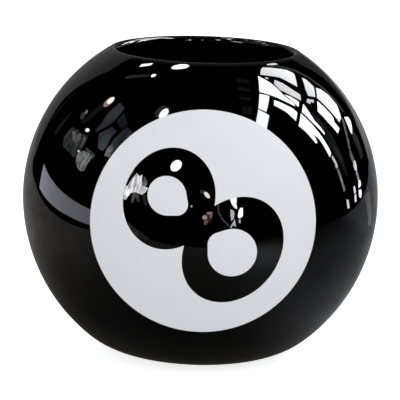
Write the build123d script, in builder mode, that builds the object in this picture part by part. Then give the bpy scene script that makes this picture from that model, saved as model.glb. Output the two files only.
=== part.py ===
from build123d import *
import os
from math import atan2, cos, degrees, radians, sin, sqrt

# Hollow ball vase made to look like a billiard ball: a slip-cast clay pot, black glaze outside, inside
# and under the foot, and a round white print that leaves the figure 8 open down to the black glaze.
# Millimetres. The pot stands on its bare foot ring at Z = 0, its axis is +Z, and the 8 faces -Y.

# Ball, measured on the glazed surface
ball_radius = 75.0
glaze = 0.4
clay_wall = 3.0
base_drop = 65.4  # from the ball's centre down to the glazed underside
base_round = 34.0  # turns the ball into the flat underside
slump = 1.2  # the upper half has sunk in the kiln: this much lower at its pole than a true ball
mouth_angle = 32.0  # between the axis and the middle of the lip, seen from the ball's centre

# Foot ring, the recess inside it, and the floor above them
foot_height = 0.8  # bare ring standing out below the glazed underside
foot_outer_radius = 25.0
foot_inner_radius = 19.0
foot_edge_round = 0.4
recess_height = 2.4  # clay ceiling of the recess
floor_thickness = 3.0  # clay between the recess and the inside
floor_round = 30.6  # turns the inner wall into the floor, on the clay

# Print
print_thickness = 0.25
field_radius = 45.1
field_tilt = 2.0  # the field's centre looks up by this angle
figure_turn = 52.3  # the 8 leans this far to the left, as on a ball that has rolled

# Figure 8, upright, measured from the middle of the field
upper_loop = (20.4, 17.7)
upper_loop_centre = (0, 17.6)
upper_loop_lean = 13.0
lower_loop = (23.0, 18.8)
lower_loop_centre = (0, -15.0)
lower_loop_lean = 4.6
waist_round = 0.4

# Each counter is a round drawn out to a blunter, smaller round on the side of the waist
upper_counter_radius = 7.7
upper_counter_centre = (0.6, 19.2)
upper_point_radius = 4.5
upper_point_centre = (0.6, 14.3)
lower_counter_radius = 9.8
lower_counter_centre = (-0.6, -15.2)
lower_point_radius = 5.0
lower_point_centre = (-0.9, -9.2)

# Worked out from the sizes above
ball_centre_z = foot_height + base_drop
clay_radius = ball_radius - glaze
clay_base_z = foot_height + glaze
cavity_radius = clay_radius - clay_wall
floor_z = recess_height + floor_thickness
lip_round = clay_wall / 2
lip_angle = 90 - mouth_angle
lip_reach = clay_radius - lip_round
past_the_ball = 2 * ball_radius
skin_reach = 60  # the print's skin is made between these latitudes and then cut

# The print is drawn upright on this plane through the ball's centre and thrown on to the ball
facing = Vector(0, -cos(radians(field_tilt)), sin(radians(field_tilt)))
figure_plane = Plane(
    origin=(0, 0, ball_centre_z),
    x_dir=Vector(1, 0, 0).rotate(Axis((0, 0, 0), facing), figure_turn),
    z_dir=facing,
)


def flat_radius(radius, flat_z, corner_round):
    """Radius at which the flat bottom of a rounded-off ball gives way to its corner."""
    return sqrt((radius - corner_round) ** 2 - (ball_centre_z - flat_z - corner_round) ** 2)


def side_point(radius, angle):
    """Point on a ball's side in the section plane, allowing for the slump of the upper half."""
    height = radius - slump if angle > 0 else radius
    return (radius * cos(radians(angle)), ball_centre_z + height * sin(radians(angle)))


def belly(radius, low_angle, high_angle):
    """Draws a ball's side: a circle up to its widest point, and a slightly flattened ellipse above."""
    CenterArc((0, ball_centre_z), radius, low_angle, -low_angle)
    EllipticalCenterArc((0, ball_centre_z), radius, radius - slump, 0, arc_size=high_angle)


def ball_side(radius, flat_z, corner_round):
    """Draws a ball's side from the edge of its flat bottom, round the corner and up to the lip."""
    corner_x = flat_radius(radius, flat_z, corner_round)
    corner_z = flat_z + corner_round
    corner_end = degrees(atan2(corner_z - ball_centre_z, corner_x))
    CenterArc((corner_x, corner_z), corner_round, -90, 90 + corner_end)
    belly(radius, corner_end, lip_angle)


def lip_point(radius, angle):
    """Point at an angle round the lip's middle, in the section plane."""
    x, z = lip_centre
    return (x + radius * cos(radians(angle)), z + radius * sin(radians(angle)))


def counter(radius, centre, point_radius, point_centre):
    """Egg-shaped opening of one loop of the 8, with its narrow end at the waist."""
    with BuildSketch() as egg:
        with Locations(centre):
            Circle(radius)
        with Locations(point_centre):
            Circle(point_radius)
        make_hull()
    return egg.sketch


def skin_section():
    """Section of the print's skin, which is turned into a band round the ball and cut to an outline."""
    printed_radius = ball_radius + print_thickness
    with BuildSketch(Plane.XZ) as section:
        with BuildLine():
            belly(ball_radius, -skin_reach, skin_reach)
            Line(side_point(ball_radius, skin_reach), side_point(printed_radius, skin_reach))
            belly(printed_radius, -skin_reach, skin_reach)
            Line(side_point(ball_radius, -skin_reach), side_point(printed_radius, -skin_reach))
        make_face()
    return section.sketch


# Middle of the lip, and the bottom edges that more than one profile shares
lip_centre = side_point(lip_reach, lip_angle)
outer_flat = flat_radius(ball_radius, foot_height, base_round)
inner_flat = flat_radius(cavity_radius, floor_z, floor_round)
lip_crown = lip_angle + 90  # the outer and the inner glaze meet here, on the middle of the lip

# Clay body: wall with a full-round lip, floor, foot ring and recess
with BuildPart() as clay_body:
    with BuildSketch(Plane.XZ) as clay_section:
        with BuildLine():
            ball_side(clay_radius, clay_base_z, base_round - glaze)
            CenterArc(lip_centre, lip_round, lip_angle, 180)
            ball_side(cavity_radius, floor_z, floor_round)
            Polyline(
                (inner_flat, floor_z),
                (0, floor_z),
                (0, recess_height),
                (foot_inner_radius, recess_height),
                (foot_inner_radius, 0),
                (foot_outer_radius, 0),
                (foot_outer_radius, clay_base_z),
                (outer_flat, clay_base_z),
            )
        make_face()
        fillet(clay_section.vertices().group_by(Axis.Y)[0], foot_edge_round)
    revolve(axis=Axis.Z)
clay_body.part.label = "clay_body"

# Outer glaze: from the foot ring up to the middle of the lip
with BuildPart() as outer_glaze:
    with BuildSketch(Plane.XZ):
        with BuildLine():
            ball_side(ball_radius, foot_height, base_round)
            CenterArc(lip_centre, lip_round + glaze, lip_angle, 90)
            Line(lip_point(lip_round + glaze, lip_crown), lip_point(lip_round, lip_crown))
            CenterArc(lip_centre, lip_round, lip_angle, 90)
            ball_side(clay_radius, clay_base_z, base_round - glaze)
            Polyline(
                (outer_flat, clay_base_z),
                (foot_outer_radius, clay_base_z),
                (foot_outer_radius, foot_height),
                (outer_flat, foot_height),
            )
        make_face()
    revolve(axis=Axis.Z)
outer_glaze.part.label = "outer_glaze"

# Inner glaze: from the middle of the lip down and across the floor
with BuildPart() as inner_glaze:
    with BuildSketch(Plane.XZ):
        with BuildLine():
            ball_side(cavity_radius, floor_z, floor_round)
            CenterArc(lip_centre, lip_round, lip_crown, 90)
            Line(lip_point(lip_round, lip_crown), lip_point(lip_round + glaze, lip_crown))
            CenterArc(lip_centre, lip_round + glaze, lip_crown, 90)
            ball_side(cavity_radius - glaze, floor_z + glaze, floor_round - glaze)
            Polyline(
                (inner_flat, floor_z + glaze),
                (0, floor_z + glaze),
                (0, floor_z),
                (inner_flat, floor_z),
            )
        make_face()
    revolve(axis=Axis.Z)
inner_glaze.part.label = "inner_glaze"

# Recess glaze: shallow dish under the floor, inside the foot ring
with BuildPart() as recess_glaze:
    with BuildSketch(Plane.XZ):
        with BuildLine():
            Polyline(
                (0, recess_height - glaze),
                (foot_inner_radius - glaze, recess_height - glaze),
                (foot_inner_radius - glaze, foot_height),
                (foot_inner_radius, foot_height),
                (foot_inner_radius, recess_height),
                (0, recess_height),
                close=True,
            )
        make_face()
    revolve(axis=Axis.Z)
recess_glaze.part.label = "recess_glaze"

# Outline of the 8 without its counters
with BuildSketch() as figure_outline:
    with Locations(upper_loop_centre):
        Ellipse(*upper_loop, rotation=upper_loop_lean)
    with Locations(lower_loop_centre):
        Ellipse(*lower_loop, rotation=lower_loop_lean)
    fillet(figure_outline.vertices().filter_by_position(Axis.Y, -6, 6), waist_round)

# White field around the 8
with BuildPart() as number_field:
    revolve(skin_section(), axis=Axis.Z)
    with BuildSketch(figure_plane):
        Circle(field_radius)
        add(figure_outline.sketch, mode=Mode.SUBTRACT)
    extrude(amount=past_the_ball, mode=Mode.INTERSECT)
number_field.part.label = "number_field"

# White counter in the upper loop
with BuildPart() as upper_counter:
    revolve(skin_section(), axis=Axis.Z)
    with BuildSketch(figure_plane):
        add(counter(upper_counter_radius, upper_counter_centre, upper_point_radius, upper_point_centre))
    extrude(amount=past_the_ball, mode=Mode.INTERSECT)
upper_counter.part.label = "upper_counter"

# White counter in the lower loop
with BuildPart() as lower_counter:
    revolve(skin_section(), axis=Axis.Z)
    with BuildSketch(figure_plane):
        add(counter(lower_counter_radius, lower_counter_centre, lower_point_radius, lower_point_centre))
    extrude(amount=past_the_ball, mode=Mode.INTERSECT)
lower_counter.part.label = "lower_counter"

os.makedirs("parts", exist_ok=True)
export_step(clay_body.part, "parts/clay_body.step")
export_step(outer_glaze.part, "parts/outer_glaze.step")
export_step(inner_glaze.part, "parts/inner_glaze.step")
export_step(recess_glaze.part, "parts/recess_glaze.step")
export_step(number_field.part, "parts/number_field.step")
export_step(upper_counter.part, "parts/upper_counter.step")
export_step(lower_counter.part, "parts/lower_counter.step")
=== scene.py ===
from math import acos, asin, atan2, cos, degrees, hypot, pi, radians, sin, sqrt, tan

import bmesh
import bpy
import numpy as np
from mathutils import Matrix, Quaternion, Vector, noise
from mathutils.geometry import delaunay_2d_cdt

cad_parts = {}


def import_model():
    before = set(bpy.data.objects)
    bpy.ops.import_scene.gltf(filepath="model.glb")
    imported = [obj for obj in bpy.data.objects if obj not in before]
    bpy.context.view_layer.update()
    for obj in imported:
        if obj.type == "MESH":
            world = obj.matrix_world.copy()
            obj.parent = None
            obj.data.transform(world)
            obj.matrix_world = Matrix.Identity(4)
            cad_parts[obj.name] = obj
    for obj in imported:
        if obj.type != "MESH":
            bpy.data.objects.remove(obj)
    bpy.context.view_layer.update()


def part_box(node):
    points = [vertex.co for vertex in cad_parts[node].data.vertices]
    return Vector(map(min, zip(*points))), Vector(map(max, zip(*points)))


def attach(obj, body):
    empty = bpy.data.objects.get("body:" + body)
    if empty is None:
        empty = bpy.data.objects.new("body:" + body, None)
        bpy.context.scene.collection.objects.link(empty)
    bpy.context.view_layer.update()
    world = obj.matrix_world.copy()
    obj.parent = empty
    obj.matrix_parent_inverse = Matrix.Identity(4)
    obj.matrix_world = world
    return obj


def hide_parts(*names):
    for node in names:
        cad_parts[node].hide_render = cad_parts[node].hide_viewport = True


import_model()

# Glossy black ball vase with a white figure 8 print, on a pale floor. Metres, in the CAD model's frame.

MM = 0.001

# ---------------------------------------------------------------- sizes
GLAZE = 0.4 * MM
CLAY_WALL = 3.0 * MM
BASE_ROUND = 34.0 * MM
SLUMP = 1.2 * MM  # how much lower than a true ball the upper half has sunk, at its pole
LIP_ANGLE = 58.0  # elevation of the lip's middle, seen from the ball's centre
LIP_BREAK_AND_HIGHLIGHT_BAND = 1.2 * MM  # how far down from its top the lip's glaze is thin and lighter brown, which is partly a painted highlight along the lip
FOOT_OUTER = 25.0 * MM
FOOT_INNER = 19.0 * MM
FOOT_EDGE = 0.4 * MM
RECESS_Z = 2.4 * MM
RECESS_CORNER = 0.5 * MM
FLOOR_Z = 5.4 * MM
FLOOR_ROUND = 30.6 * MM
PRINT_THICKNESS = 0.22 * MM
PRINT_SINK = 0.03 * MM  # how far the print's back lies in the glaze
PRINT_EDGE = 0.16 * MM  # width of the print's softened edge
PRINT_EDGE_SHARE = 0.45  # how much of its thickness the print has at its very edge
FIELD_RADIUS = 45.1 * MM
FIELD_TILT = 2.0  # the field's centre looks up by this angle
FIGURE_TURN = 52.3  # the 8 leans this far to the left

# Loops of the 8, upright, from the middle of the field: centre, half width, half height and lean
UPPER_LOOP = ((0.0, 17.6 * MM), 20.4 * MM, 17.7 * MM, 13.0)
LOWER_LOOP = ((0.0, -15.0 * MM), 23.0 * MM, 18.8 * MM, 4.6)
WAIST = (0.0, 1.6 * MM)  # a point inside both loops

# Counters of the 8: radius and centre of the round, then of the smaller round at the waist's end
UPPER_COUNTER = (7.7 * MM, (0.6 * MM, 19.2 * MM), 4.5 * MM, (0.6 * MM, 14.3 * MM))
LOWER_COUNTER = (9.8 * MM, (-0.6 * MM, -15.2 * MM), 5.0 * MM, (-0.9 * MM, -9.2 * MM))

glaze_low, glaze_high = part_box("outer_glaze")
BALL_RADIUS = (glaze_high.x - glaze_low.x) / 2
FOOT_HEIGHT = glaze_low.z
CLAY_RADIUS = BALL_RADIUS - GLAZE
CAVITY_RADIUS = CLAY_RADIUS - CLAY_WALL
LIP_ROUND = CLAY_WALL / 2
LIP_REACH = CLAY_RADIUS - LIP_ROUND
LIP_CROWN = LIP_ANGLE + 90
BALL_CENTRE_Z = glaze_high.z - (LIP_ROUND + GLAZE) - (LIP_REACH - SLUMP) * sin(radians(LIP_ANGLE))
BALL_CENTRE = Vector((0, 0, BALL_CENTRE_Z))

# Mesh fineness
SEGMENTS = 256  # round the vase's axis
SHOWN_STEP = 1.8 * MM
HIDDEN_STEP = 4.0 * MM
LIP_STEP = 0.07 * MM
HIDDEN_LIP_STEP = 4 * LIP_STEP
OUTLINE_STEP = 0.35 * MM
OUTLINE_SAMPLES = 6000  # angles at which the 8's outline is worked out before it is spaced evenly
FILL_STEP = 1.4 * MM
FILL_CLEARANCE = 0.55 * FILL_STEP  # least gap between the points that fill a print and its edges
SAME_POINT = 1e-9  # points this near to each other are one
TRIANGLES_WITHIN = 2  # the kind of triangulation that gives triangles within the outlines
SHARP_ANGLE = 50  # edges that turn more than this are shaded sharp

# Unevenness of the fired surface: size of the swells and their depth
SWELLS = ((30 * MM, 0.07 * MM), (11 * MM, 0.014 * MM))
SWELL_FADE = 12 * MM  # the swells die away towards the foot


# ---------------------------------------------------------------- mesh tools
def settled(point):
    """The point, moved in towards the ball's centre by the faint unevenness of the fired pot."""
    offset = point - BALL_CENTRE
    depth = sum(deep * (0.5 + 0.5 * noise.noise(offset / size)) for size, deep in SWELLS)
    depth *= min(1.0, max(0.0, point.z / SWELL_FADE))
    return point - offset.normalized() * depth


def arc(centre, radius, start, end, step):
    """Points along an arc in the (radius, height) section, between two angles in degrees."""
    pieces = max(3, round(radians(abs(end - start)) * radius / step))
    angles = [radians(start + (end - start) * i / pieces) for i in range(pieces + 1)]
    return [(centre[0] + radius * cos(a), centre[1] + radius * sin(a)) for a in angles]


def side_point(radius, angle):
    """Point on a ball's side, allowing for the slump of the upper half."""
    height = radius - SLUMP if angle > 0 else radius
    return (radius * cos(radians(angle)), BALL_CENTRE_Z + height * sin(radians(angle)))


LIP_CENTRE = side_point(LIP_REACH, LIP_ANGLE)


def ball_side(radius, flat_z, corner_round, step):
    """Points up one side of a ball, from the edge of its flat bottom, round the corner, to the lip."""
    corner_z = flat_z + corner_round
    corner_x = sqrt((radius - corner_round) ** 2 - (BALL_CENTRE_Z - corner_z) ** 2)
    corner_end = degrees(atan2(corner_z - BALL_CENTRE_Z, corner_x))
    corner = arc((corner_x, corner_z), corner_round, -90, corner_end, step)
    span = LIP_ANGLE - corner_end
    pieces = round(radians(span) * radius / step)
    return corner + [side_point(radius, corner_end + span * i / pieces) for i in range(1, pieces + 1)]


def new_piece(name, mesh, material, slot, *nodes):
    """Makes a shown piece of the vase from a finished bmesh, in place of the CAD nodes."""
    bmesh.ops.recalc_face_normals(mesh, faces=mesh.faces)
    data = bpy.data.meshes.new(name)
    mesh.to_mesh(data)
    mesh.free()
    data.shade_smooth()
    data.set_sharp_from_angle(angle=radians(SHARP_ANGLE))
    data.materials.append(material)
    piece = bpy.data.objects.new(name, data)
    bpy.context.scene.collection.objects.link(piece)
    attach(piece, "root")
    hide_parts(*nodes)
    return piece


def turned(profile):
    """Closed bmesh of revolution about Z, from a closed loop of (radius, height) points."""
    mesh = bmesh.new()
    turns = [2 * pi * i / SEGMENTS for i in range(SEGMENTS)]
    rings = []
    for radius, height in profile:
        around = turns if radius > 0 else [0.0]
        points = [Vector((radius * cos(a), radius * sin(a), height)) for a in around]
        rings.append([mesh.verts.new(settled(p)) for p in points])
    for ring, after in zip(rings, rings[1:] + rings[:1]):
        if len(ring) == len(after) == 1:
            continue
        for i in range(SEGMENTS):
            j = (i + 1) % SEGMENTS
            near = (ring[i % len(ring)], ring[j % len(ring)])
            far = (after[j % len(after)], after[i % len(after)])
            mesh.faces.new(list(dict.fromkeys(near + far)))
    return mesh


# ---------------------------------------------------------------- numeral outlines, upright
def evenly(points):
    """Closed outline resampled to points that lie an even step apart."""
    loop = np.array(points + points[:1])
    reach = np.concatenate(([0], np.cumsum(np.hypot(*np.diff(loop, axis=0).T))))
    at = np.linspace(0, reach[-1], round(reach[-1] / OUTLINE_STEP), endpoint=False)
    across, up = (np.interp(at, reach, values) for values in loop.T)
    return list(zip(across.tolist(), up.tolist()))


def ellipse_reach(angle, start, centre, half_width, half_height, lean):
    """Distance from a start point inside a leaning ellipse to its edge, at an angle."""
    turn = radians(-lean)
    dx, dy = start[0] - centre[0], start[1] - centre[1]
    px = (dx * cos(turn) - dy * sin(turn)) / half_width
    py = (dx * sin(turn) + dy * cos(turn)) / half_height
    vx = cos(angle + turn) / half_width
    vy = sin(angle + turn) / half_height
    a, b, c = vx * vx + vy * vy, px * vx + py * vy, px * px + py * py - 1
    return (-b + sqrt(b * b - a * c)) / a


def figure_outline():
    """Outline of the 8: two leaning ellipses that meet at the waist, seen from a point in both."""
    points = []
    for i in range(OUTLINE_SAMPLES):
        angle = 2 * pi * i / OUTLINE_SAMPLES
        reach = max(ellipse_reach(angle, WAIST, *loop) for loop in (UPPER_LOOP, LOWER_LOOP))
        points.append((WAIST[0] + reach * cos(angle), WAIST[1] + reach * sin(angle)))
    return evenly(points)


def counter_outline(radius, centre, point_radius, point_centre):
    """Outline of a counter: a round drawn out by two straight sides to a smaller round."""
    dx, dy = point_centre[0] - centre[0], point_centre[1] - centre[1]
    toward = degrees(atan2(dy, dx))
    spread = degrees(acos((radius - point_radius) / hypot(dx, dy)))
    fine = OUTLINE_STEP / 4
    back = arc(centre, radius, toward + spread, toward + 360 - spread, fine)
    tip = arc(point_centre, point_radius, toward - spread, toward + spread, fine)
    return evenly(back + tip)


def circle_outline(radius):
    """Outline of a circle about the middle of the print."""
    return evenly(arc((0, 0), radius, 0, 360, OUTLINE_STEP)[:-1])


# ---------------------------------------------------------------- print
FACING = Vector((0, -cos(radians(FIELD_TILT)), sin(radians(FIELD_TILT))))
ACROSS = Vector((1, 0, 0))
UPWARD = FACING.cross(ACROSS)
FIGURE_X = ACROSS * cos(radians(FIGURE_TURN)) + UPWARD * sin(radians(FIGURE_TURN))
FIGURE_Y = FACING.cross(FIGURE_X)


def on_ball(point, height):
    """A point of the flat print, thrown forward on to the ball and raised off the glaze."""
    flat = FIGURE_X * point[0] + FIGURE_Y * point[1]
    radius = BALL_RADIUS + height
    for half_height in (radius, radius - SLUMP):  # the lower half first, then the sunken upper half
        squash = Vector((1, 1, radius / half_height))
        start, along = flat * squash, FACING * squash
        a, b, c = along.dot(along), start.dot(along), start.dot(start) - radius ** 2
        landed = flat + FACING * ((sqrt(b * b - a * c) - b) / a)
        if landed.z <= 0:
            break
    return settled(BALL_CENTRE + landed)


def shifted(outline, distance):
    """Outline moved to its left by a distance, which is inwards for a loop that runs anticlockwise."""
    loop = np.array(outline)
    along = np.roll(loop, -1, axis=0) - np.roll(loop, 1, axis=0)
    along /= np.hypot(*along.T)[:, None]
    return [tuple(p) for p in loop + distance * np.stack((-along[:, 1], along[:, 0]), axis=1)]


def inside(points, outline):
    """Which of the points lie inside an outline, by counting crossings."""
    x, y = points.T
    result = np.zeros(len(points), bool)
    for (x0, y0), (x1, y1) in zip(outline, outline[1:] + outline[:1]):
        if y0 != y1:
            crosses = (y0 > y) != (y1 > y)
            result ^= crosses & (x < (x1 - x0) * (y - y0) / (y1 - y0) + x0)
    return result


def fill_points(outline, holes):
    """Staggered grid of points inside an outline and clear of its edges and holes."""
    reach = max(hypot(*p) for p in outline)
    steps = int(reach / FILL_STEP) + 2
    row = FILL_STEP * sqrt(3) / 2
    counts = range(-steps, steps)
    grid = np.array([((i + j % 2 / 2) * FILL_STEP, j * row) for i in counts for j in counts])
    keep = inside(grid, outline)
    for hole in holes:
        keep &= ~inside(grid, hole)
    grid = grid[keep]
    edges = np.array([p for loop in (outline, *holes) for p in loop])
    gaps = np.array([np.hypot(*(edges - p).T).min() for p in grid])
    return [tuple(p) for p in grid[gaps > FILL_CLEARANCE]]


def printed(outline, holes=()):
    """Closed bmesh of a thin print with softened edges, wrapped on to the ball."""
    loops = [outline, *holes]
    insets = []
    for inset in (PRINT_EDGE, 2 * PRINT_EDGE):
        insets += [shifted(outline, inset)] + [shifted(hole, -inset) for hole in holes]
    points, edges = [], []
    for loop in loops + insets:
        first = len(points)
        points += loop
        edges += [(first + i, first + (i + 1) % len(loop)) for i in range(len(loop))]
    edge_count = sum(len(loop) for loop in loops)
    innermost = insets[-len(loops):]
    points += fill_points(innermost[0], innermost[1:])
    vectors = [Vector(p) for p in points]
    flat, _, faces, origin, _, _ = delaunay_2d_cdt(vectors, edges, [], TRIANGLES_WITHIN, SAME_POINT)
    at_edge = [any(i < edge_count for i in source) for source in origin]
    middles = np.array([np.mean([flat[i] for i in face], axis=0) for face in faces])
    inked = inside(middles, outline)
    for hole in holes:
        inked &= ~inside(middles, hole)
    faces = [face for face, kept in zip(faces, inked) if kept]

    mesh = bmesh.new()
    heights = [PRINT_THICKNESS * (PRINT_EDGE_SHARE if edge else 1) for edge in at_edge]
    top = [mesh.verts.new(on_ball(p, h)) for p, h in zip(flat, heights)]
    back = [mesh.verts.new(on_ball(p, -PRINT_SINK)) for p in flat]
    for face in faces:
        mesh.faces.new([top[i] for i in face])
        mesh.faces.new([back[i] for i in reversed(face)])
    mesh.edges.ensure_lookup_table()
    number = {vertex: i for i, vertex in enumerate(top)}
    rims = [e for e in mesh.edges if len(e.link_faces) == 1 and e.verts[0] in number]
    for a, b in [(number[e.verts[0]], number[e.verts[1]]) for e in rims]:
        mesh.faces.new((top[a], top[b], back[b], back[a]))
    loose = [v for v in mesh.verts if not v.link_faces]
    bmesh.ops.delete(mesh, geom=loose, context="VERTS")
    return mesh


# ---------------------------------------------------------------- materials
def new_material(name):
    """A node material with its shader, its node maker and its linker."""
    material = bpy.data.materials.new(name)
    material.use_nodes = True
    tree = material.node_tree
    return material, tree.nodes["Principled BSDF"], tree.nodes.new, tree.links.new


def ramp(new, link, value, start, end, low=0.0, high=1.0, smooth=False):
    """Goes from a low to a high level as a value goes from start to end."""
    node = new("ShaderNodeMapRange")
    if smooth:
        node.interpolation_type = "SMOOTHSTEP"
    for name, level in (("From Min", start), ("From Max", end), ("To Min", low), ("To Max", high)):
        node.inputs[name].default_value = level
    link(value, node.inputs["Value"])
    return node.outputs["Result"]


def calculated(new, link, operation, first, second):
    """Result of a sum, difference or the like. Either value may be a number or a socket."""
    node = new("ShaderNodeMath")
    node.operation = operation
    for socket, value in zip(node.inputs, (first, second)):
        if isinstance(value, (int, float)):
            socket.default_value = value
        else:
            link(value, socket)
    return node.outputs[0]


def speckle(new, link, size, detail, low, high):
    """Noise over the object's own coordinates, stretched between two levels, as a 0 to 1 factor."""
    place = new("ShaderNodeTexCoord")
    grain = new("ShaderNodeTexNoise")
    grain.inputs["Scale"].default_value = 1 / size
    grain.inputs["Detail"].default_value = detail
    link(place.outputs["Object"], grain.inputs["Vector"])
    return ramp(new, link, grain.outputs["Fac"], low, high)


def blend_colours(new, link, factor, first, second):
    """Mix of two colours by a factor. Either colour may be a tuple or a socket."""
    mix = new("ShaderNodeMix")
    mix.data_type = "RGBA"
    link(factor, mix.inputs["Factor"])
    for socket, colour in zip(mix.inputs[6:8], (first, second)):  # the colour sockets A and B
        if isinstance(colour, tuple):
            socket.default_value = (*colour, 1)
        else:
            link(colour, socket)
    return mix.outputs[2]  # the colour result


def vary(new, link, factor, low, high, socket):
    """Drives a shader socket between two values by a factor."""
    link(ramp(new, link, factor, 0.0, 1.0, low, high), socket)


def raise_grain(new, link, shader, height, distance, strength):
    """Bumps a shader's surface by a height factor."""
    bump = new("ShaderNodeBump")
    bump.inputs["Distance"].default_value = distance
    bump.inputs["Strength"].default_value = strength
    link(height, bump.inputs["Height"])
    link(bump.outputs["Normal"], shader.inputs["Normal"])


def black_glaze():
    """Wet-looking black glaze: mirror gloss, faint orange peel, and thinner and browner on the lip, where
    the lighter brown is also a painted highlight line.
    """
    material, shader, new, link = new_material("black_glaze")
    cloud = speckle(new, link, 18 * MM, 3, 0.35, 0.65)
    body = blend_colours(new, link, cloud, (0.0002, 0.0002, 0.00025), (0.0005, 0.0004, 0.0004))
    place = new("ShaderNodeTexCoord")
    split = new("ShaderNodeSeparateXYZ")
    link(place.outputs["Object"], split.inputs["Vector"])
    # Lighter brown band at the lip's top: glaze breaking thin there, and partly a painted highlight along
    # the lip
    lip_break_and_highlight = ramp(new, link, split.outputs["Z"], glaze_high.z - LIP_BREAK_AND_HIGHLIGHT_BAND, glaze_high.z)
    tone = blend_colours(new, link, lip_break_and_highlight, body, (0.016, 0.013, 0.012))
    link(tone, shader.inputs["Base Color"])
    vary(new, link, speckle(new, link, 7 * MM, 2, 0.3, 0.7), 0.012, 0.03, shader.inputs["Roughness"])
    raise_grain(new, link, shader, speckle(new, link, 5 * MM, 1, 0.2, 0.8), 0.004 * MM, 0.6)
    shader.inputs["IOR"].default_value = 1.5
    return material


def white_print():
    """Matt ceramic ink: cool white, faintly blotched, with a fine screened grain."""
    material, shader, new, link = new_material("white_print")
    blotch = speckle(new, link, 16 * MM, 2, 0.35, 0.65)
    ink = blend_colours(new, link, blotch, (0.735, 0.755, 0.785), (0.765, 0.785, 0.80))
    grain = speckle(new, link, 0.5 * MM, 3, 0.3, 0.7)
    link(blend_colours(new, link, grain, ink, (0.78, 0.795, 0.81)), shader.inputs["Base Color"])
    vary(new, link, speckle(new, link, 6 * MM, 2, 0.3, 0.7), 0.58, 0.72, shader.inputs["Roughness"])
    raise_grain(new, link, shader, grain, 0.008 * MM, 0.5)
    return material


def bare_clay():
    """Unglazed buff clay with fine sandy grain and sparse dark specks."""
    material, shader, new, link = new_material("bare_clay")
    cloud = speckle(new, link, 6 * MM, 4, 0.3, 0.7)
    clay = blend_colours(new, link, cloud, (0.50, 0.42, 0.33), (0.62, 0.55, 0.45))
    specks = speckle(new, link, 0.7 * MM, 1, 0.70, 0.74)
    link(blend_colours(new, link, specks, clay, (0.12, 0.09, 0.07)), shader.inputs["Base Color"])
    vary(new, link, cloud, 0.85, 0.97, shader.inputs["Roughness"])
    raise_grain(new, link, shader, speckle(new, link, 0.35 * MM, 4, 0.2, 0.8), 0.05 * MM, 0.7)
    return material


# ---------------------------------------------------------------- the vase
def clay_profile():
    """Section of the clay: side, full-round lip, inside, floor, recess and foot ring."""
    side = ball_side(CLAY_RADIUS, FOOT_HEIGHT + GLAZE, BASE_ROUND - GLAZE, HIDDEN_STEP)
    lip = arc(LIP_CENTRE, LIP_ROUND, LIP_ANGLE, LIP_ANGLE + 180, HIDDEN_LIP_STEP)
    inner = ball_side(CAVITY_RADIUS, FLOOR_Z, FLOOR_ROUND, HIDDEN_STEP)[::-1]
    floor = [(0, FLOOR_Z), (0, RECESS_Z), (FOOT_INNER, RECESS_Z)]
    inner_edge = arc((FOOT_INNER + FOOT_EDGE, FOOT_EDGE), FOOT_EDGE, 180, 270, LIP_STEP)
    outer_edge = arc((FOOT_OUTER - FOOT_EDGE, FOOT_EDGE), FOOT_EDGE, -90, 0, LIP_STEP)
    foot = inner_edge + outer_edge + [(FOOT_OUTER, FOOT_HEIGHT + GLAZE)]
    return side + lip[1:] + inner[1:] + floor + foot


def outer_glaze_profile():
    """Section of the outer coat, from the foot ring up to the middle of the lip and back."""
    shown = ball_side(BALL_RADIUS, FOOT_HEIGHT, BASE_ROUND, SHOWN_STEP)
    lip = arc(LIP_CENTRE, LIP_ROUND + GLAZE, LIP_ANGLE, LIP_CROWN, LIP_STEP)
    under_lip = arc(LIP_CENTRE, LIP_ROUND, LIP_CROWN, LIP_ANGLE, HIDDEN_LIP_STEP)
    hidden = ball_side(CLAY_RADIUS, FOOT_HEIGHT + GLAZE, BASE_ROUND - GLAZE, HIDDEN_STEP)[::-1]
    foot = [(FOOT_OUTER, FOOT_HEIGHT + GLAZE), (FOOT_OUTER, FOOT_HEIGHT)]
    return shown + lip[1:] + under_lip + hidden[1:] + foot


def inner_glaze_profile():
    """Section of the inner coat, from the middle of the lip down and across the floor, and back."""
    radius, floor_z, corner = CAVITY_RADIUS - GLAZE, FLOOR_Z + GLAZE, FLOOR_ROUND - GLAZE
    lip = arc(LIP_CENTRE, LIP_ROUND + GLAZE, LIP_CROWN, LIP_ANGLE + 180, LIP_STEP)
    shown = ball_side(radius, floor_z, corner, SHOWN_STEP)[::-1]
    middle = [(0, floor_z), (0, FLOOR_Z)]
    hidden = ball_side(CAVITY_RADIUS, FLOOR_Z, FLOOR_ROUND, HIDDEN_STEP)
    under_lip = arc(LIP_CENTRE, LIP_ROUND, LIP_ANGLE + 180, LIP_CROWN, HIDDEN_LIP_STEP)
    return lip + shown[1:] + middle + hidden + under_lip[1:]


def recess_glaze_profile():
    """Section of the shallow dish of glaze under the floor, with a soft inner corner."""
    wall, ceiling = FOOT_INNER - GLAZE, RECESS_Z - GLAZE
    middle = (wall - RECESS_CORNER, ceiling - RECESS_CORNER)
    corner = arc(middle, RECESS_CORNER, 90, 0, 2 * LIP_STEP)
    rim = [(wall, FOOT_HEIGHT), (FOOT_INNER, FOOT_HEIGHT)]
    return [(0, ceiling)] + corner + rim + [(FOOT_INNER, RECESS_Z), (0, RECESS_Z)]


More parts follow.
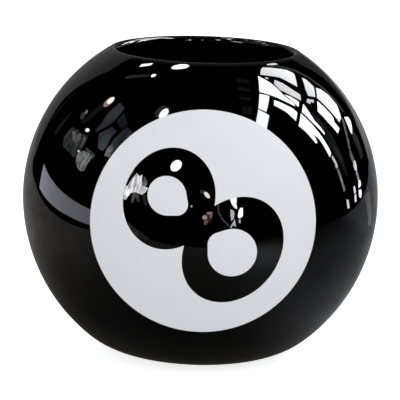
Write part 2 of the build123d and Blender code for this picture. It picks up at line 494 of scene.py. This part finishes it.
def make_vase():
    """Builds every shown piece of the vase."""
    glaze, ink, clay = black_glaze(), white_print(), bare_clay()
    field = printed(circle_outline(FIELD_RADIUS), [figure_outline()])
    upper = printed(counter_outline(*UPPER_COUNTER))
    lower = printed(counter_outline(*LOWER_COUNTER))
    new_piece("pot", turned(clay_profile()), clay, "bare_clay", "clay_body")
    new_piece("glaze_outside", turned(outer_glaze_profile()), glaze, "black_glaze", "outer_glaze")
    new_piece("glaze_inside", turned(inner_glaze_profile()), glaze, "black_glaze", "inner_glaze")
    new_piece("glaze_recess", turned(recess_glaze_profile()), glaze, "black_glaze", "recess_glaze")
    new_piece("print_field", field, ink, "white_print", "number_field")
    new_piece("print_upper_island", upper, ink, "white_print", "upper_counter")
    new_piece("print_lower_island", lower, ink, "white_print", "lower_counter")


# ---------------------------------------------------------------- studio
# Directions are an azimuth and an elevation in degrees, seen from the ball's centre. Azimuth 0 is
# towards the camera's side and 90 is to the right.

# Upright planes that cards stand on: azimuth, and distance from the ball's centre
WINDOW_WALL = (101, 2.5)
LEFT_WALL = (-88, 2.0)
FRONT_WALL = (20, 2.0)
FRONT_LEFT_WALL = (-46, 2.0)
BACK_LEFT_WALL = (-138, 2.0)
BACK_WALL = (180, 1.6)
LAYER = 0.01  # gap between cards that overlap
LAMP_DISTANCE = 2.0
SHADE_DISTANCE = 2.1  # shades hang behind their lamps
LAMP_SIDES = 32
STREAK_SQUASH = 0.35  # how much less creases change along their length than across it

FLOOR_RADIUS = 3.0
FLOOR_SIDES = 64
FLOOR_DROP = 0.1 * MM  # keeps the floor clear of the foot
TABLE_DROP = 0.5 * MM  # keeps the table clear of the streak on it
SURROUND_RADIUS = 6.0

PLAIN = (1.0, 1.0, 1.0)
WHITE = (0.93, 0.96, 1.0)
FLOOR_GLOW = 0.8  # the floor is lit from below too, like a light table, so shadows stay pale
WORLD_GLOW = 0.83


def direction(azimuth, elevation):
    """Unit vector from the ball."""
    a, e = radians(azimuth), radians(elevation)
    return Vector((sin(a) * cos(e), -cos(a) * cos(e), sin(e)))


def wall_point(azimuth, distance, u, v):
    """Point on an upright plane that faces the ball: u along it and v up, in units of its distance."""
    out = direction(azimuth, 0)
    along = direction(azimuth + 90, 0)
    return BALL_CENTRE + distance * (out + u * along + v * Vector((0, 0, 1)))


def oval(half_width, half_height, sides):
    """Outline of an oval."""
    turns = [2 * pi * i / sides for i in range(sides)]
    return [(half_width * cos(a), half_height * sin(a)) for a in turns]


def strip(path, widths):
    """Outline of a band that follows a path of a few points. It has one width, or one for each point."""
    line = np.array(path)
    along = np.gradient(line, axis=0)
    along /= np.hypot(*along.T)[:, None]
    side = np.atleast_1d(widths)[:, None] / 2 * np.stack((-along[:, 1], along[:, 0]), axis=1)
    return (line + side).tolist() + (line - side)[::-1].tolist()


def staged(name, corner_lists, material):
    """A piece of the studio made of flat polygons."""
    points = [tuple(p) for corners in corner_lists for p in corners]
    faces, first = [], 0
    for corners in corner_lists:
        faces.append(list(range(first, first + len(corners))))
        first += len(corners)
    data = bpy.data.meshes.new(name)
    data.from_pydata(points, [], faces)
    data.materials.append(material)
    piece = bpy.data.objects.new(name, data)
    bpy.context.scene.collection.objects.link(piece)
    return piece


def show_only_in_gloss(piece):
    """Keeps a studio card out of everything but reflections."""
    piece.visible_camera = False
    piece.visible_diffuse = False
    piece.visible_transmission = False
    piece.visible_volume_scatter = False
    piece.visible_shadow = False


def glowing(name, colour=PLAIN, strength=1.0):
    """Plain light-giving studio material."""
    material = bpy.data.materials.new(name)
    material.use_nodes = True
    nodes = material.node_tree.nodes
    nodes.clear()
    glow = nodes.new("ShaderNodeEmission")
    glow.inputs["Color"].default_value = (*colour, 1)
    glow.inputs["Strength"].default_value = strength
    out = nodes.new("ShaderNodeOutputMaterial")
    material.node_tree.links.new(glow.outputs[0], out.inputs[0])
    return material


def creased(name, colour, strength, size):
    """Light-giving material of something crumpled: streaks brighter and darker, of about this size."""
    material = glowing(name, colour)
    new, link = material.node_tree.nodes.new, material.node_tree.links.new
    place = new("ShaderNodeTexCoord")
    stretch = new("ShaderNodeMapping")  # turned, so that no streak runs straight along a wall
    stretch.inputs["Rotation"].default_value = (0.3, 0.5, 0.4)
    stretch.inputs["Scale"].default_value = (1 / size, 1 / size, STREAK_SQUASH / size)
    streaks = new("ShaderNodeTexNoise")
    streaks.inputs["Scale"].default_value = 1
    streaks.inputs["Detail"].default_value = 4
    streaks.inputs["Roughness"].default_value = 0.6
    link(place.outputs["Object"], stretch.inputs["Vector"])
    link(stretch.outputs["Vector"], streaks.inputs["Vector"])
    level = ramp(new, link, streaks.outputs["Fac"], 0.38, 0.62, 0.35, 1.3)
    light = calculated(new, link, "MULTIPLY", level, strength)
    link(light, material.node_tree.nodes["Emission"].inputs["Strength"])
    return material


def paned_light(name, wall, panels, colour, strength, crease=0, layer=0):
    """Light on a wall, cut to flat panels. Creased ones look crumpled, and higher layers are nearer."""
    material = creased(name, colour, strength, crease) if crease else glowing(name, colour, strength)
    azimuth, distance = wall
    distance -= layer * LAYER
    light = [[wall_point(azimuth, distance, u, v) for u, v in panel] for panel in panels]
    show_only_in_gloss(staged(name, light, material))


def lamp(name, azimuth, elevation, width, height, colour, strength, turn=0, distance=LAMP_DISTANCE):
    """Small oval light that faces the ball. Width and height are the angles that it fills, in degrees."""
    out = direction(azimuth, elevation)
    side = Vector((0, 0, 1)).cross(out).normalized()
    rise = out.cross(side)
    turned_cos, turned_sin = cos(radians(turn)), sin(radians(turn))
    corners = []
    for x, y in oval(distance * radians(width) / 2, distance * radians(height) / 2, LAMP_SIDES):
        across, up = x * turned_cos - y * turned_sin, x * turned_sin + y * turned_cos
        corners.append(BALL_CENTRE + out * distance + side * across + rise * up)
    show_only_in_gloss(staged(name, [corners], glowing(name, colour, strength)))


def window_wall():
    """Tall window to the right: bright panes between slanting bars, with glints and streaks round them."""
    upper = [
        [(-1.05, 1.42), (-0.72, 1.48), (-0.50, 1.50), (-0.57, 1.96), (-1.05, 1.96)],
        [(-0.475, 1.62), (-0.04, 1.585), (-0.10, 1.96), (-0.54, 1.96)],
        [
            (-0.20, 1.42), (-0.08, 1.44), (-0.055, 1.30), (-0.01, 1.00), (-0.02, 0.915), (-0.17, 0.89),
            (-0.16, 1.10),
        ],
        [
            (-0.045, 1.96), (0.00, 1.50), (0.03, 1.15), (0.06, 0.97), (0.085, 1.00), (0.14, 1.22),
            (0.32, 1.56), (0.46, 1.96),
        ],
        [(0.165, 1.21), (0.185, 1.08), (0.185, 0.93), (0.09, 0.92), (0.11, 1.03)],
    ]
    head = [
        [
            (0.32, 1.46), (0.43, 1.44), (0.41, 1.25), (0.355, 1.05), (0.34, 0.92), (0.235, 0.90),
            (0.215, 1.05), (0.22, 1.32),
        ],
        [
            (0.51, 1.87), (0.70, 1.80), (0.77, 1.72), (0.79, 1.35), (0.835, 1.10), (0.80, 0.98),
            (0.48, 0.97), (0.50, 1.12), (0.54, 1.30), (0.51, 1.60),
        ],
    ]
    lower = [
        [
            (-0.20, 0.82), (0.01, 0.86), (0.00, 0.34), (-0.05, 0.32), (-0.06, 0.52), (-0.09, 0.60),
            (-0.12, 0.51), (-0.15, 0.52), (-0.17, 0.68),
        ],
        [(0.05, 0.85), (0.20, 0.86), (0.13, 0.74), (0.09, 0.66), (0.09, 0.50), (0.065, 0.49), (0.04, 0.66)],
        [(0.28, 0.65), (0.45, 0.67), (0.44, 0.46), (0.39, 0.44), (0.40, 0.37), (0.31, 0.37), (0.28, 0.50)],
    ]
    far = [
        [(0.42, 0.80), (0.52, 0.84), (0.78, 0.86), (0.80, 0.80), (0.73, 0.70), (0.50, 0.70)],
        [
            (0.51, 0.675), (0.74, 0.67), (0.80, 0.60), (0.83, 0.50), (0.80, 0.40), (0.62, 0.36),
            (0.50, 0.38), (0.49, 0.48),
        ],
    ]
    glints = [
        [
            (0.74, 0.315), (0.89, 0.25), (0.885, 0.22), (0.80, 0.215), (0.65, 0.215), (0.635, 0.24),
            (0.695, 0.29),
        ],
        [(0.28, 0.82), (0.35, 0.81), (0.42, 0.72), (0.36, 0.72), (0.34, 0.76), (0.29, 0.76)],
        [(0.86, 1.57), (0.90, 1.55), (0.97, 1.35), (0.98, 1.27), (0.94, 1.26), (0.89, 1.40)],
        [(0.40, 1.68), (0.45, 1.72), (0.46, 1.62), (0.41, 1.61)],
        [(0.06, -0.045), (0.10, -0.055), (0.125, -0.115), (0.08, -0.11)],
        [(0.225, 0.00), (0.265, 0.00), (0.27, -0.04), (0.23, -0.045)],
        [(0.23, -0.055), (0.27, -0.05), (0.28, -0.10), (0.24, -0.10)],
        [(0.38, 0.005), (0.43, -0.005), (0.435, -0.035), (0.385, -0.04), (0.345, -0.03)],
        [(0.35, -0.045), (0.425, -0.06), (0.43, -0.09), (0.395, -0.105), (0.36, -0.095), (0.345, -0.07)],
    ]
    rail_path = [(0.84, 1.54), (0.905, 1.08), (0.91, 0.85), (0.895, 0.60), (0.89, 0.41), (0.84, 0.315)]
    edge = [
        strip([(-0.01, 0.31), (0.00, 0.25), (0.00, 0.21)], 0.038),
        strip([(0.38, 0.13), (0.375, 0.10), (0.365, 0.07)], (0.065, 0.085, 0.05)),
    ]
    tails = [
        strip([(0.005, 0.20), (0.015, 0.11), (0.04, 0.02)], 0.034),
        strip([(0.365, 0.07), (0.38, 0.04), (0.38, 0.005)], 0.046),
    ]
    slivers = [
        strip([(0.645, 0.345), (0.49, 0.285), (0.38, 0.21)], 0.034),
        strip([(0.38, 0.20), (0.36, 0.165), (0.375, 0.13)], (0.05, 0.07, 0.07)),
    ]
    haze = [
        strip([(0.175, 0.72), (0.115, 0.51), (0.11, 0.31), (0.135, 0.10)], (0.04, 0.13, 0.11, 0.035)),
        strip([(0.755, 0.20), (0.69, 0.155), (0.68, 0.055)], (0.11, 0.18, 0.12)),
    ]
    paned_light("window_upper", WINDOW_WALL, upper, WHITE, 24)
    paned_light("window_head", WINDOW_WALL, head, WHITE, 12)
    paned_light("window_lower", WINDOW_WALL, lower, WHITE, 30)
    paned_light("window_far", WINDOW_WALL, far, WHITE, 9.5)
    paned_light("window_glints", WINDOW_WALL, glints, WHITE, 9)
    paned_light("window_streaks", WINDOW_WALL, [strip(rail_path, 0.06)], WHITE, 0.35)
    paned_light("window_edge", WINDOW_WALL, edge, WHITE, 9, crease=0.05)
    paned_light("window_tails", WINDOW_WALL, tails, WHITE, 3.2, crease=0.05)
    paned_light("window_slivers", WINDOW_WALL, slivers, WHITE, 1.4, crease=0.05)
    paned_light("window_haze", WINDOW_WALL, haze, WHITE, 0.24, crease=0.12, layer=-2)


def left_window():
    """Dim paned window to the left."""
    dim = [
        [
            (-0.18, 1.14), (-0.02, 1.16), (0.03, 1.00), (0.05, 0.90), (0.02, 0.75), (-0.06, 0.60),
            (-0.09, 0.62), (-0.10, 0.75), (-0.15, 0.88),
        ],
        [(0.06, 1.10), (0.14, 1.08), (0.27, 1.05), (0.27, 0.93), (0.20, 0.89), (0.08, 0.92)],
    ]
    pale = [
        [
            (0.31, 1.01), (0.60, 1.01), (0.60, 0.50), (0.33, 0.48), (0.25, 0.48), (0.27, 0.58),
            (0.25, 0.70), (0.28, 0.86),
        ],
        [
            (0.10, 0.81), (0.22, 0.82), (0.20, 0.70), (0.225, 0.60), (0.21, 0.50), (0.12, 0.49),
            (0.03, 0.58), (0.00, 0.62),
        ],
    ]
    paned_light("window_left_dim", LEFT_WALL, dim, (0.80, 0.95, 1.0), 0.55, crease=0.6)
    paned_light("window_left_pale", LEFT_WALL, pale, (0.78, 0.86, 1.0), 1.1, crease=0.6)


def left_side():
    """Lit things, a glare and dim streaks under and beside the left window, and a pale bench below."""
    near = [
        [
            (-0.12, 0.34), (-0.05, 0.38), (0.02, 0.39), (0.10, 0.39), (0.095, 0.34), (0.08, 0.29),
            (0.07, 0.23), (0.03, 0.21), (-0.03, 0.22), (-0.09, 0.25), (-0.12, 0.29),
        ],
    ]
    wing = [
        [
            (-0.055, 0.42), (0.045, 0.42), (0.13, 0.415), (0.12, 0.36), (0.105, 0.36), (0.10, 0.395),
            (-0.03, 0.39),
        ],
    ]
    far = [
        [
            (-0.44, 0.28), (-0.53, 0.335), (-0.52, 0.40), (-0.50, 0.45), (-0.35, 0.48), (-0.22, 0.49),
            (-0.13, 0.515), (-0.10, 0.46), (-0.10, 0.39), (-0.09, 0.33), (-0.15, 0.27), (-0.25, 0.28),
        ],
    ]
    folds = [
        [(-0.44, 0.43), (-0.39, 0.45), (-0.28, 0.43), (-0.24, 0.38), (-0.31, 0.375)],
        [(-0.31, 0.46), (-0.25, 0.48), (-0.21, 0.43), (-0.205, 0.375), (-0.20, 0.34), (-0.27, 0.40)],
        [(-0.175, 0.48), (-0.14, 0.485), (-0.12, 0.44), (-0.12, 0.38), (-0.14, 0.38)],
    ]
    glare = [[(0.26, 0.47), (0.245, 0.58), (0.275, 0.645), (0.34, 0.595), (0.34, 0.495)]]
    dim_streaks = [
        [(-0.86, 0.28), (-0.84, 0.39), (-0.78, 0.54), (-0.76, 0.52), (-0.75, 0.37), (-0.78, 0.27)],
        [(-0.40, 0.87), (-0.29, 0.875), (-0.295, 0.68), (-0.33, 0.57), (-0.43, 0.53), (-0.40, 0.66)],
    ]
    bench_path = [(-0.78, -0.04), (-0.42, -0.073), (-0.06, -0.115), (0.24, -0.155), (0.60, -0.195)]
    bench = strip(bench_path, (0.175, 0.165, 0.15, 0.15, 0.17))
    paned_light("things_left_near", LEFT_WALL, near, (0.90, 1.0, 0.97), 3.6, crease=0.05, layer=2)
    paned_light("things_left_wing", LEFT_WALL, wing, (0.93, 1.0, 0.98), 1.1, crease=0.05, layer=1)
    paned_light("things_left_far", LEFT_WALL, far, (0.93, 1.0, 0.98), 0.42, crease=0.06)
    paned_light("things_left_folds", LEFT_WALL, folds, (0.88, 1.0, 0.98), 1.6, crease=0.03, layer=1)
    paned_light("window_left_glare", LEFT_WALL, glare, WHITE, 3.0, crease=0.06, layer=2)
    paned_light("streaks_left", LEFT_WALL, dim_streaks, PLAIN, 0.09)
    paned_light("bench", LEFT_WALL, [bench], (0.83, 0.87, 1.0), 2.2)


def lamps():
    """Ceiling lamps and small bright things in the room."""
    # Each has an azimuth, elevation, width, height, colour and strength
    lamp("lamp_front_left", -48.8, 60.5, 4.4, 7.5, WHITE, 30, turn=10)
    lamp("lamp_front_left_shade", -51.5, 61, 8.5, 9.5, WHITE, 0.5, turn=10, distance=SHADE_DISTANCE)
    lamp("lamp_over", -147, 71.5, 7.4, 4.2, (1.0, 0.95, 0.90), 30, turn=-40)
    lamp("lamp_over_left", -121, 64, 2.4, 2.2, WHITE, 26)
    lamp("lamp_warm", -106.4, 44.1, 3.6, 3.8, (1.0, 0.93, 0.89), 26)
    lamp("lamp_warm_shade", -106.4, 43.0, 5.4, 6.0, (1.0, 0.62, 0.50), 5, distance=SHADE_DISTANCE)
    lamp("lamp_low_left", -99.4, 28.4, 3.5, 1.7, (1.0, 0.92, 0.88), 22, turn=18)
    lamp("lamp_dim_left_a", -113.5, 30.8, 2.6, 1.6, WHITE, 2.6)
    lamp("lamp_dim_left_b", -113.5, 28.6, 4.4, 3.0, WHITE, 0.6, distance=SHADE_DISTANCE)
    lamp("lamp_spot_left", -95.3, 18.9, 1.8, 1.0, WHITE, 12, turn=15)
    lamp("lamp_front", -19.2, 30.5, 8.0, 6.0, WHITE, 30, turn=58)
    lamp("lamp_small_warm", 2.8, 13.2, 4.8, 2.3, (1.0, 0.90, 0.86), 20, turn=-52)
    lamp("lamp_small_shade", 0.6, 15.0, 4.6, 2.6, (1.0, 0.58, 0.46), 1.1, turn=-10, distance=SHADE_DISTANCE)
    lamp("lamp_tiny", -6.7, 5.8, 1.2, 1.5, (1.0, 0.94, 0.96), 9)
    lamp("red_thing", 3.6, -1.4, 5.0, 6.6, (1.0, 0.28, 0.22), 0.9, turn=-20, distance=SHADE_DISTANCE)
    lamp("red_thing_top", 4.5, 1.8, 3.6, 1.6, (1.0, 0.74, 0.68), 6.0, turn=10)
    lamp("red_thing_left", 1.7, -0.9, 2.8, 2.8, (1.0, 0.80, 0.74), 7.5, turn=-10)
    lamp("red_thing_low", 2.4, -3.9, 2.2, 3.4, (1.0, 0.88, 0.84), 2.2, turn=-15)
    lamp("red_thing_side", 5.4, 0.0, 1.4, 2.8, (1.0, 0.72, 0.66), 4.0, turn=-15)


def ceiling():
    """Dim grille, a bright tube and a dim rail, all above and mostly to the left."""
    slats = [
        [(114.5, 73.3), (113.2, 67.6), (105.6, 68.2), (105.8, 73.9)],
        [(91.7, 73.6), (95.7, 68.3), (89.1, 67.5), (83.4, 73.3)],
        [(70.1, 71.2), (78.7, 66.4), (72.8, 65.3), (64.2, 70.1)],
        [(55.7, 66.2), (66.3, 62.3), (57.5, 58.7), (51.0, 62.6)],
    ]
    grille = [[BALL_CENTRE + LAMP_DISTANCE * direction(*corner) for corner in slat] for slat in slats]
    show_only_in_gloss(staged("ceiling_grille", grille, glowing("ceiling_grille", PLAIN, 0.11)))
    tube = strip([(-0.015, 1.28), (-0.03, 1.42), (-0.05, 1.54)], 0.055)
    rail = strip([(0.20, 1.18), (0.24, 1.50), (0.265, 1.89)], 0.06)
    paned_light("lamp_tube", BACK_LEFT_WALL, [tube], WHITE, 24)
    paned_light("ceiling_rail", BACK_LEFT_WALL, [rail], PLAIN, 0.3)


def front_lights():
    """Narrow broken window light and a hose, right of the camera."""
    bright = [
        [(-0.065, 0.23), (0.03, 0.23), (0.02, 0.13), (0.03, 0.075), (0.00, 0.09), (-0.03, 0.13)],
        [
            (0.035, 0.01), (0.045, 0.06), (0.065, 0.088), (0.09, 0.085), (0.09, 0.00), (0.06, -0.025),
            (0.04, -0.02),
        ],
    ]
    pale = [
        [(-0.045, 0.075), (-0.015, 0.06), (0.00, 0.03), (-0.01, -0.03), (-0.035, -0.055), (-0.045, 0.00)],
        [
            (0.00, -0.03), (0.018, -0.115), (0.00, -0.11), (-0.02, -0.10), (-0.03, -0.13),
            (-0.045, -0.13), (-0.03, -0.09), (-0.01, -0.06),
        ],
        [(0.045, -0.04), (0.065, -0.04), (0.065, -0.08), (0.045, -0.075)],
    ]
    hose = [strip([(-0.18, 0.14), (-0.178, 0.04), (-0.14, -0.025), (-0.055, -0.115)], 0.015)]
    paned_light("window_front", FRONT_WALL, bright, WHITE, 30)
    paned_light("window_front_pale", FRONT_WALL, pale, WHITE, 11)
    paned_light("hose_front", FRONT_WALL, hose, WHITE, 1.2)


def front_left_sheet():
    """Crumpled bright sheet left of the camera, with a dimmer fold and edges."""
    sheet = [
        [
            (-0.12, 0.11), (-0.05, 0.09), (0.00, 0.17), (0.05, 0.19), (0.13, 0.175), (0.17, 0.21),
            (0.19, 0.26), (0.12, 0.27), (0.10, 0.33), (0.09, 0.40), (0.06, 0.37), (0.02, 0.40),
            (-0.02, 0.33), (-0.05, 0.24), (-0.12, 0.21),
        ],
    ]
    fold = [
        [(-0.115, 0.255), (-0.095, 0.225), (-0.06, 0.32), (-0.02, 0.42), (-0.04, 0.42), (-0.09, 0.33)],
        [(0.11, 0.28), (0.17, 0.26), (0.17, 0.33), (0.12, 0.38)],
    ]
    under = [
        [
            (0.025, 0.19), (0.06, 0.205), (0.095, 0.19), (0.115, 0.10), (0.09, 0.09), (0.065, 0.14),
            (0.04, 0.07), (0.02, 0.08),
        ],
    ]
    beside = [
        [(0.135, 0.18), (0.17, 0.19), (0.205, 0.085), (0.195, 0.05), (0.17, 0.09)],
        [
            (0.00, -0.135), (0.065, -0.18), (0.145, -0.23), (0.27, -0.32), (0.205, -0.355),
            (0.10, -0.32), (0.015, -0.25),
        ],
    ]
    paned_light("sheet_front_left", FRONT_LEFT_WALL, sheet, (0.97, 0.97, 1.0), 19, crease=0.07)
    paned_light("sheet_fold", FRONT_LEFT_WALL, fold, WHITE, 3.2, crease=0.05, layer=1)
    paned_light("sheet_under", FRONT_LEFT_WALL, under, (1.0, 0.97, 0.95), 1.3, crease=0.07, layer=-1)
    paned_light("sheet_beside", FRONT_LEFT_WALL, beside, (0.93, 0.93, 1.0), 0.55, crease=0.07, layer=-1)


def sheets_behind():
    """Dim pale sheets that stand behind the vase, as the rim of the gloss sees them."""
    left = [
        (-0.05, -0.05), (0.73, -0.05), (0.74, 0.10), (0.69, 0.20), (0.67, 0.27), (0.71, 0.40),
        (0.79, 0.64), (0.82, 0.95), (0.60, 1.02), (-0.05, 1.02),
    ]
    pole = [(0.775, 0.18), (0.80, 0.18), (0.82, 0.50), (0.80, 0.50)]
    right = [(-0.57, 0.06), (-0.05, 0.06), (-0.05, 0.55), (-0.54, 0.55), (-0.48, 0.28)]
    band = [(-0.70, -0.05), (-0.05, -0.05), (-0.05, 0.06), (-0.62, 0.10), (-0.66, 0.04)]
    paned_light("sheet_left", BACK_WALL, [left], PLAIN, 0.17)
    paned_light("sheet_pole", BACK_WALL, [pole], PLAIN, 0.08)
    paned_light("sheet_right", BACK_WALL, [right], PLAIN, 0.08)
    paned_light("sheet_band", BACK_WALL, [band], PLAIN, 0.42)


def how_far(new, link, place, centre):
    """Distance of a place from a centre."""
    gap = new("ShaderNodeVectorMath")
    gap.operation = "DISTANCE"
    gap.inputs[1].default_value = centre
    link(place, gap.inputs[0])
    return gap.outputs["Value"]


def table_gloss():
    """Painted reflection of the lit table: painted shade near the foot, greyer further out, and cooler with
    a glare on the right.
    """
    material = glowing("table_gloss")
    new, link = material.node_tree.nodes.new, material.node_tree.links.new
    glow = material.node_tree.nodes["Emission"]
    place = new("ShaderNodeTexCoord").outputs["Object"]
    split = new("ShaderNodeSeparateXYZ")
    link(place, split.inputs[0])
    x, y = split.outputs["X"], split.outputs["Y"]
    reach = how_far(new, link, place, (0, 0, 0))
    # Painted shade: the table's reflection is darkest near the foot, where the vase shades it
    rise = ramp(new, link, reach, 0.07, 0.20, 0.045, 0.26)
    left = calculated(new, link, "MULTIPLY", rise, ramp(new, link, y, -0.19, -0.05, 0.62))
    slant = calculated(new, link, "SUBTRACT", x, calculated(new, link, "MULTIPLY", y, 0.8))
    near = ramp(new, link, slant, -0.10, 0.42, 0.32, 0.05)
    far = ramp(new, link, y, 0.0, 0.12, 0.05, 0.24)
    right = calculated(new, link, "MAXIMUM", near, far)
    right = calculated(new, link, "MULTIPLY", right, ramp(new, link, reach, 0.03, 0.07, 0.25))
    side = ramp(new, link, x, 0.015, 0.075, smooth=True)
    link(blend_colours(new, link, side, (1.0, 0.95, 0.91), (0.93, 0.95, 1.02)), glow.inputs["Color"])
    left = calculated(new, link, "MULTIPLY", left, calculated(new, link, "SUBTRACT", 1.0, side))
    right = calculated(new, link, "MULTIPLY", right, side)
    glare = ramp(new, link, how_far(new, link, place, (0.12, -0.16, 0)), 0.0, 0.085, 0.38, 0.0, smooth=True)
    both = calculated(new, link, "ADD", left, right)
    light = calculated(new, link, "ADD", both, glare)
    cloud = ramp(new, link, speckle(new, link, 1 / 14, 2, 0.3, 0.7), 0.0, 1.0, 0.86, 1.14)
    link(calculated(new, link, "MULTIPLY", light, cloud), glow.inputs["Strength"])
    return material


def table_top():
    """Table that the vase stands on, as the gloss sees it: a glowing card that paints its reflection, with
    painted shade near the foot and a pale streak on it.
    """
    top = [
        (-0.24, -0.24), (0.22, -0.235), (0.45, -0.05), (0.75, 0.65), (1.2, 1.5), (-0.95, 1.5),
        (-0.60, 0.70), (-0.58, 0.48), (-0.46, 0.235), (-0.34, 0.015), (-0.27, -0.11), (-0.245, -0.15),
    ]
    table = staged("table_top", [[(x, y, 0) for x, y in top]], table_gloss())
    table.location.z = -TABLE_DROP
    show_only_in_gloss(table)
    path = [(0.21, 0.17), (0.345, 0.275), (0.51, 0.405), (0.56, 0.455)]
    streak = [(x, y, 0) for x, y in strip(path, (0.025, 0.06, 0.10, 0.06))]
    show_only_in_gloss(staged("table_streak", [streak], glowing("table_streak", PLAIN, 0.5)))


def floor_paint():
    """Pale matt floor with faint clouds, which glows a little."""
    material, shader, new, link = new_material("floor_paint")
    shader.inputs["Emission Color"].default_value = (*PLAIN, 1)
    shader.inputs["Emission Strength"].default_value = FLOOR_GLOW
    tone = speckle(new, link, 0.4, 2, 0.3, 0.7)
    paint = blend_colours(new, link, tone, (0.93, 0.93, 0.93), (0.95, 0.95, 0.95))
    link(paint, shader.inputs["Base Color"])
    shader.inputs["Roughness"].default_value = 0.9
    shader.inputs["Specular IOR Level"].default_value = 0.0
    return material


def pale_floor():
    """Round floor that the gloss doesn't see."""
    ring = [(x, y, 0) for x, y in oval(FLOOR_RADIUS, FLOOR_RADIUS, FLOOR_SIDES)]
    floor = staged("floor", [ring], floor_paint())
    floor.location.z = -FLOOR_DROP
    floor.visible_glossy = False
    floor.visible_diffuse = False


def white_surround():
    """White dome that only the camera sees."""
    surround = bmesh.new()
    bmesh.ops.create_icosphere(surround, subdivisions=4, radius=SURROUND_RADIUS)
    data = bpy.data.meshes.new("surround")
    surround.to_mesh(data)
    surround.free()
    data.materials.append(glowing("surround"))
    dome = bpy.data.objects.new("surround", data)
    bpy.context.scene.collection.objects.link(dome)
    show_only_in_gloss(dome)
    dome.visible_camera = True
    dome.visible_glossy = False


def world():
    """Even soft light from all round, which doesn't show in the gloss."""
    studio = bpy.data.worlds.new("studio")
    bpy.context.scene.world = studio
    studio.use_nodes = True
    background = studio.node_tree.nodes["Background"]
    background.inputs["Color"].default_value = (0.96, 0.98, 1.0, 1)
    background.inputs["Strength"].default_value = WORLD_GLOW
    studio.cycles_visibility.glossy = False


def soft_light(name, azimuth, elevation, distance, size, power):
    """Large square light aimed at the ball, which doesn't show in the gloss."""
    data = bpy.data.lights.new(name, "AREA")
    data.size = size
    data.energy = power
    light = bpy.data.objects.new(name, data)
    bpy.context.scene.collection.objects.link(light)
    out = direction(azimuth, elevation)
    light.location = BALL_CENTRE + out * distance
    light.rotation_mode = "QUATERNION"
    light.rotation_quaternion = out.to_track_quat("Z", "Y")
    light.visible_glossy = False
    light.visible_camera = False


def camera():
    """Long lens from a little above and a hair to the left, rolled slightly anticlockwise."""
    azimuth, elevation, roll = -1.3, 11.8, 1.8
    distance = 14 * BALL_RADIUS
    filled = 0.8885  # share of the picture's width that the ball fills
    aimed_left, aimed_low = 0.0017 * BALL_RADIUS, 0.0228 * BALL_RADIUS
    data = bpy.data.cameras.new("camera")
    data.sensor_width = 36
    data.lens = data.sensor_width / 2 * filled / tan(asin(BALL_RADIUS / distance))
    data.clip_start, data.clip_end = 0.05, 30
    view = bpy.data.objects.new("camera", data)
    bpy.context.scene.collection.objects.link(view)
    view.location = BALL_CENTRE + direction(azimuth, elevation) * distance
    target = BALL_CENTRE - Vector((aimed_left, 0, aimed_low))
    aim = (target - view.location).to_track_quat("-Z", "Y")
    view.rotation_mode = "QUATERNION"
    view.rotation_quaternion = aim @ Quaternion((0, 0, 1), radians(roll))
    bpy.context.scene.camera = view


camera()
make_vase()
window_wall()
left_window()
left_side()
lamps()
ceiling()
front_lights()
front_left_sheet()
sheets_behind()
table_top()
pale_floor()
white_surround()
world()
soft_light("key", azimuth=38, elevation=40, distance=2.2, size=1.4, power=9)
bpy.context.scene.view_settings.view_transform = "Standard"
